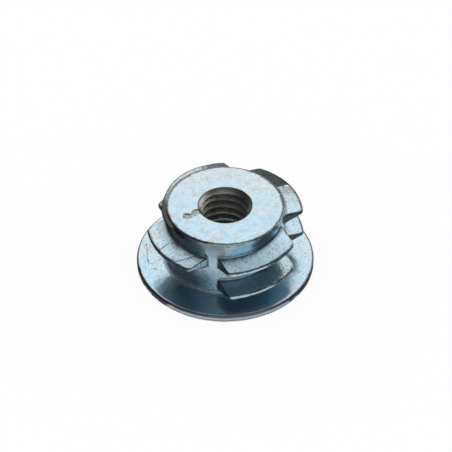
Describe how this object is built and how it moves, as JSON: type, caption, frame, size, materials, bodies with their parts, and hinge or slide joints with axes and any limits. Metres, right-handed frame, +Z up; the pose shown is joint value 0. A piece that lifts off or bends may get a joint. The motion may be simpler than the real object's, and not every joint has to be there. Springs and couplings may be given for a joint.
{
  "type": "tee nut",
  "caption": "Screw-in tee nut for wood: a round flange under a short barrel with an interrupted outer thread of lugs and a threaded through bore.",
  "frame": {"origin": "centre of the flange's flat underside, on the bore's axis", "axes": "+Z up the bore from the flange to the barrel's free end; the two die halves meet on the XZ plane and drew apart along Y"},
  "size_m": [0.02, 0.02, 0.0085],
  "materials": {
    "zinc_plate": "bright zinc plate with a pale blue passivate over a formed, finely pitted skin"
  },
  "bodies": {
    "root": {"tee_nut": "zinc_plate"}
  },
  "joints": []
}
